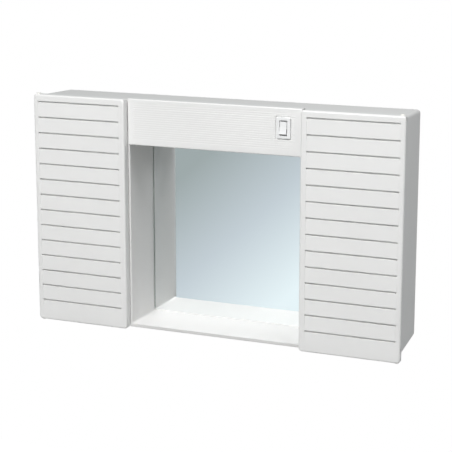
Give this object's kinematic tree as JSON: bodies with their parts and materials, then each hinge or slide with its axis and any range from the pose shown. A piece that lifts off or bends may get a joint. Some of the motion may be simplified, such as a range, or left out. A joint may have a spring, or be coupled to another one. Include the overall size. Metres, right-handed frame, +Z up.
{
  "type": "bathroom mirror cabinet",
  "caption": "Wall-hung white plastic bathroom cabinet with louvred swing doors on both sides, an open mirror niche between them and a lit ribbed pelmet with a rocker switch.",
  "frame": {"origin": "centre of the four wall-screw holes, on the back face that lies on the wall", "axes": "+X to the right of a person facing the cabinet, +Y into the wall, +Z up"},
  "size_m": [0.59, 0.1, 0.3618],
  "materials": {
    "body_plastic": "moulded white styrene, satin gloss",
    "pin_plastic": "moulded white nylon",
    "mirror_glass": "silvered float glass with a ground edge",
    "foam": "double-sided foam tape",
    "opal_sheet": "opal sheet",
    "zinc_steel": "bright zinc plated",
    "fitting_plastic": "moulded",
    "ferrite": "pressed ferrite",
    "contact_brass": "drawn",
    "opal_glass": "opal coated",
    "rubber": "moulded",
    "switch_plastic": "polished white",
    "brown_pvc": "extruded soft vinyl",
    "blue_pvc": "extruded soft vinyl"
  },
  "bodies": {
    "cabinet": {"carcass": "body_plastic", "pelmet": "body_plastic", "right_lower_shelf": "body_plastic", "left_lower_shelf": "body_plastic", "right_upper_shelf": "body_plastic", "left_upper_shelf": "body_plastic", "mirror": "mirror_glass", "mirror_pads": "foam", "diffuser": "opal_sheet", "pelmet_screws": "zinc_steel", "lamp_holder_screws": "zinc_steel", "right_catch_housing": "fitting_plastic", "left_catch_housing": "fitting_plastic", "right_catch_magnet": "ferrite", "left_catch_magnet": "ferrite", "right_lamp_holder": "fitting_plastic", "left_lamp_holder": "fitting_plastic", "right_lamp_cap": "contact_brass", "left_lamp_cap": "contact_brass", "right_lamp_bulb": "opal_glass", "left_lamp_bulb": "opal_glass", "terminal_block": "fitting_plastic", "terminal_screws": "contact_brass", "switch_terminals": "contact_brass", "cable_grommet": "rubber", "switch_housing": "switch_plastic", "live_feed_lead": "brown_pvc", "switched_lead": "brown_pvc", "live_link_lead": "brown_pvc", "neutral_feed_lead": "blue_pvc", "neutral_link_lead": "blue_pvc"},
    "right_leaf": {"right_door": "body_plastic", "right_upper_hinge_pin": "pin_plastic", "right_lower_hinge_pin": "pin_plastic", "right_strike_plate": "zinc_steel", "right_strike_screw": "zinc_steel"},
    "left_leaf": {"left_door": "body_plastic", "left_upper_hinge_pin": "pin_plastic", "left_lower_hinge_pin": "pin_plastic", "left_strike_plate": "zinc_steel", "left_strike_screw": "zinc_steel"},
    "rocker": {"switch_rocker": "switch_plastic"}
  },
  "joints": [
    {"name": "right_door_hinge", "type": "hinge", "parent": "cabinet", "child": "right_leaf", "pos_m": [0.2885, -0.09375, 0], "axis": [0, 0, 1], "range_deg": [0, 95]},
    {"name": "left_door_hinge", "type": "hinge", "parent": "cabinet", "child": "left_leaf", "pos_m": [-0.2885, -0.09375, 0], "axis": [0, 0, -1], "range_deg": [0, 95]},
    {"name": "rocker_tilt", "type": "hinge", "parent": "cabinet", "child": "rocker", "pos_m": [0.111, -0.089, 0.1494], "axis": [1, 0, 0], "range_deg": [0, 18]}
  ]
}
